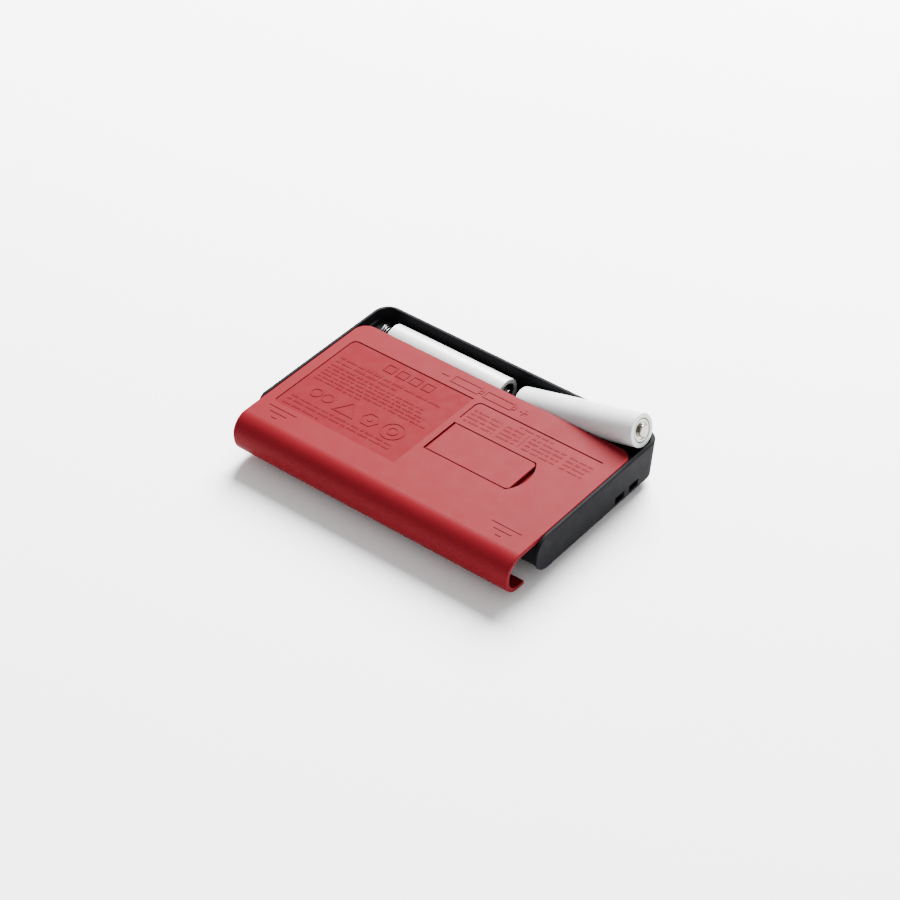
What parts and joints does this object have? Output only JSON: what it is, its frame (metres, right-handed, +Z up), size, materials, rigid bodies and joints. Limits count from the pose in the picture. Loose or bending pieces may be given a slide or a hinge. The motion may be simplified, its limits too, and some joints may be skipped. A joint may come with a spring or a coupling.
{
  "type": "pocket metronome",
  "caption": "Slim pocket electronic metronome lying on its front, red battery cover slid part open, one cell raised.",
  "frame": {"origin": "on the front panel's flat face, below the middle of the case", "axes": "+Z up out of the back, +X along the long side, +Y towards the battery bay"},
  "size_m": [0.1052, 0.0723, 0.0253],
  "materials": {
    "case_plastic": "fine matt texture",
    "panel_plastic": "fine matt texture",
    "cover_plastic": "satin moulded red",
    "stand_plastic": "satin moulded red",
    "key_rubber": "soft matt",
    "keypad_rubber": "matt",
    "board_laminate": "solder mask",
    "window_clear": "clear",
    "display_glass": "liquid crystal",
    "contact_rubber": "matt",
    "gasket_foam": "foam",
    "speaker_steel": "plated",
    "speaker_paper": "matt",
    "magnet": "ground",
    "lamp_clear": "clear",
    "lamp_body": "gloss",
    "dial_plastic": "matt",
    "pot_body": "matt",
    "jack_plastic": "matt",
    "chip": "moulded",
    "crystal_can": "drawn can",
    "capacitor_can": "sleeved can",
    "screw_steel": "zinc plated",
    "contact_nickel": "nickel plated",
    "cell_steel": "nickel plated",
    "cell_filling": "pressed mix",
    "cell_seal": "matt",
    "cell_cap": "nickel plated",
    "cell_label": "white shrink sleeve"
  },
  "bodies": {
    "case": {"amplifier_chip": "chip", "battery_spring": "contact_nickel", "capacitors": "capacitor_can", "case_screws": "screw_steel", "case_shell": "case_plastic", "circuit_board": "board_laminate", "display_glass": "display_glass", "display_window": "window_clear", "front_panel": "panel_plastic", "headphone_jack": "jack_plastic", "keypad_mat": "keypad_rubber", "lamp_left": "lamp_body", "lamp_lens_left": "lamp_clear", "lamp_lens_right": "lamp_clear", "lamp_right": "lamp_body", "main_chip": "chip", "nub_contact": "contact_nickel", "quartz_crystal": "crystal_can", "rubber_connectors": "contact_rubber", "speaker_basket": "speaker_steel", "speaker_cone": "speaker_paper", "speaker_gasket": "gasket_foam", "speaker_magnet": "magnet", "spring_plate": "contact_nickel", "volume_pot": "pot_body"},
    "cover": {"battery_cover": "cover_plastic"},
    "stand": {"stand": "stand_plastic"},
    "left_cell": {"left_cell_can": "cell_steel", "left_cell_filling": "cell_filling", "left_cell_seal": "cell_seal", "left_cell_cap": "cell_cap", "left_cell_label": "cell_label"},
    "right_cell": {"right_cell_can": "cell_steel", "right_cell_filling": "cell_filling", "right_cell_seal": "cell_seal", "right_cell_cap": "cell_cap", "right_cell_label": "cell_label"},
    "volume_dial": {"volume_dial": "dial_plastic"},
    "key_beat": {"key_beat": "key_rubber"},
    "key_power": {"key_power": "key_rubber"},
    "key_rhythm": {"key_rhythm": "key_rubber"},
    "key_start_stop": {"key_start_stop": "key_rubber"},
    "key_tap": {"key_tap": "key_rubber"},
    "key_tempo_down": {"key_tempo_down": "key_rubber"},
    "key_tempo_up": {"key_tempo_up": "key_rubber"},
    "key_tone": {"key_tone": "key_rubber"}
  },
  "joints": [
    {"name": "cover_slide", "type": "slide", "parent": "case", "child": "cover", "axis": [0, -1, 0], "range_m": [0, 0.055]},
    {"name": "stand_hinge", "type": "hinge", "parent": "cover", "child": "stand", "pos_m": [0.002, 0, 0.01495], "axis": [0, -1, 0], "range_deg": [0, 90]},
    {"name": "right_cell_swing", "type": "hinge", "parent": "case", "child": "right_cell", "pos_m": [0.00459, 0.0234, 0.02685], "axis": [0, 1, 0], "range_deg": [0, 15]},
    {"name": "left_cell_lift", "type": "slide", "parent": "case", "child": "left_cell", "axis": [0, 0, 1], "range_m": [0, 0.016]},
    {"name": "volume_turn", "type": "hinge", "parent": "case", "child": "volume_dial", "pos_m": [-0.0457, 0.005, 0.009], "axis": [0, 0, 1], "range_deg": [-135, 135]},
    {"name": "key_beat_press", "type": "slide", "parent": "case", "child": "key_beat", "axis": [0, 0, 1], "range_m": [0, 0.0006], "stiffness_N_per_m": 500, "springref_m": -0.0005},
    {"name": "key_power_press", "type": "slide", "parent": "case", "child": "key_power", "axis": [0, 0, 1], "range_m": [0, 0.0006], "stiffness_N_per_m": 500, "springref_m": -0.0005},
    {"name": "key_rhythm_press", "type": "slide", "parent": "case", "child": "key_rhythm", "axis": [0, 0, 1], "range_m": [0, 0.0006], "stiffness_N_per_m": 500, "springref_m": -0.0005},
    {"name": "key_start_stop_press", "type": "slide", "parent": "case", "child": "key_start_stop", "axis": [0, 0, 1], "range_m": [0, 0.0006], "stiffness_N_per_m": 500, "springref_m": -0.0005},
    {"name": "key_tap_press", "type": "slide", "parent": "case", "child": "key_tap", "axis": [0, 0, 1], "range_m": [0, 0.0006], "stiffness_N_per_m": 500, "springref_m": -0.0005},
    {"name": "key_tempo_down_press", "type": "slide", "parent": "case", "child": "key_tempo_down", "axis": [0, 0, 1], "range_m": [0, 0.0006], "stiffness_N_per_m": 500, "springref_m": -0.0005},
    {"name": "key_tempo_up_press", "type": "slide", "parent": "case", "child": "key_tempo_up", "axis": [0, 0, 1], "range_m": [0, 0.0006], "stiffness_N_per_m": 500, "springref_m": -0.0005},
    {"name": "key_tone_press", "type": "slide", "parent": "case", "child": "key_tone", "axis": [0, 0, 1], "range_m": [0, 0.0006], "stiffness_N_per_m": 500, "springref_m": -0.0005}
  ]
}
